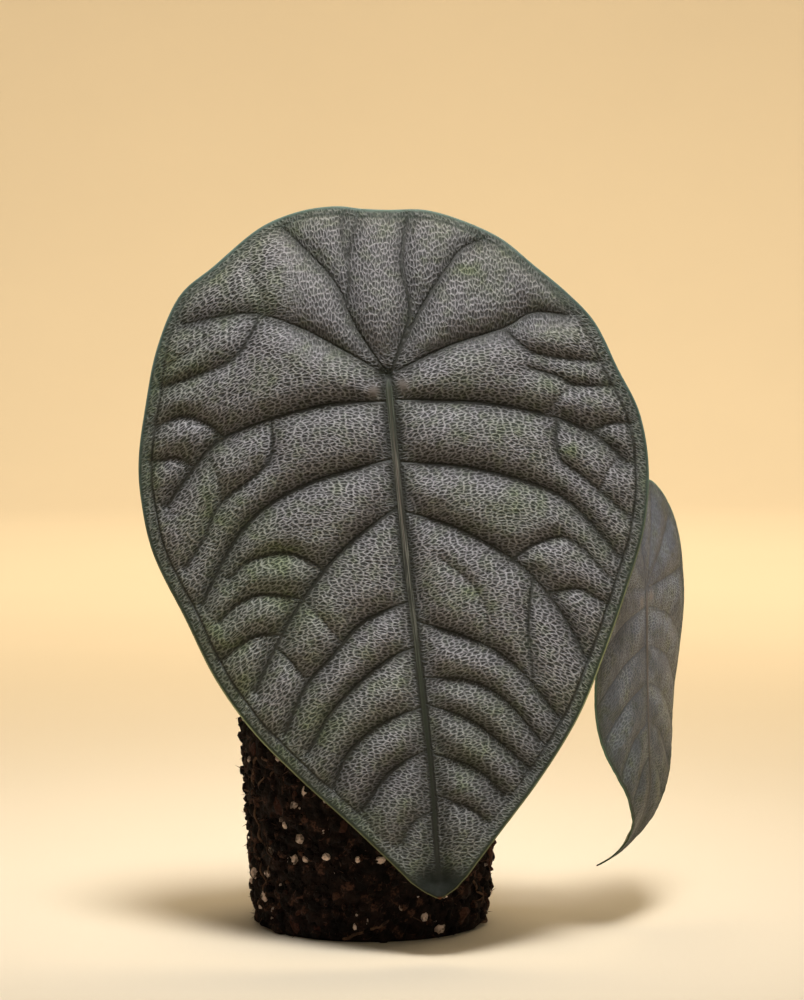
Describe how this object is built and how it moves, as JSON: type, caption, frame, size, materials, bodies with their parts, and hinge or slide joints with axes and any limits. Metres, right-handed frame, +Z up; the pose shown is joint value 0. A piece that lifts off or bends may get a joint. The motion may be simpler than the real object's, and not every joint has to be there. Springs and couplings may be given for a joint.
{
  "type": "alocasia melo plant on its bare root ball",
  "caption": "Small jewel alocasia with a large quilted shield leaf and a smaller hanging leaf on arching petioles, standing on its pot-shaped root ball.",
  "frame": {"origin": "middle of the root ball's flat base, on the surface the plant stands on", "axes": "+Z up; the large leaf's upper face looks along -Y, the small leaf hangs on the +X side"},
  "size_m": [0.155, 0.0996, 0.206],
  "materials": {
    "soil": "near-black potting mix with bark, roots and pale perlite, matt and crumbly",
    "stem": "brown, ringed by dry leaf scars, greener at the crown",
    "petiole": "smooth green flushed reddish brown, with fine dark flecks",
    "blade": "dark green under a raised grey-mauve net, semi-matt and leathery; paler green below"
  },
  "bodies": {
    "root": {"root_ball": "soil", "stem": "stem", "petiole_front": "petiole", "petiole_side": "petiole", "blade_front": "blade", "blade_side": "blade"}
  },
  "joints": []
}
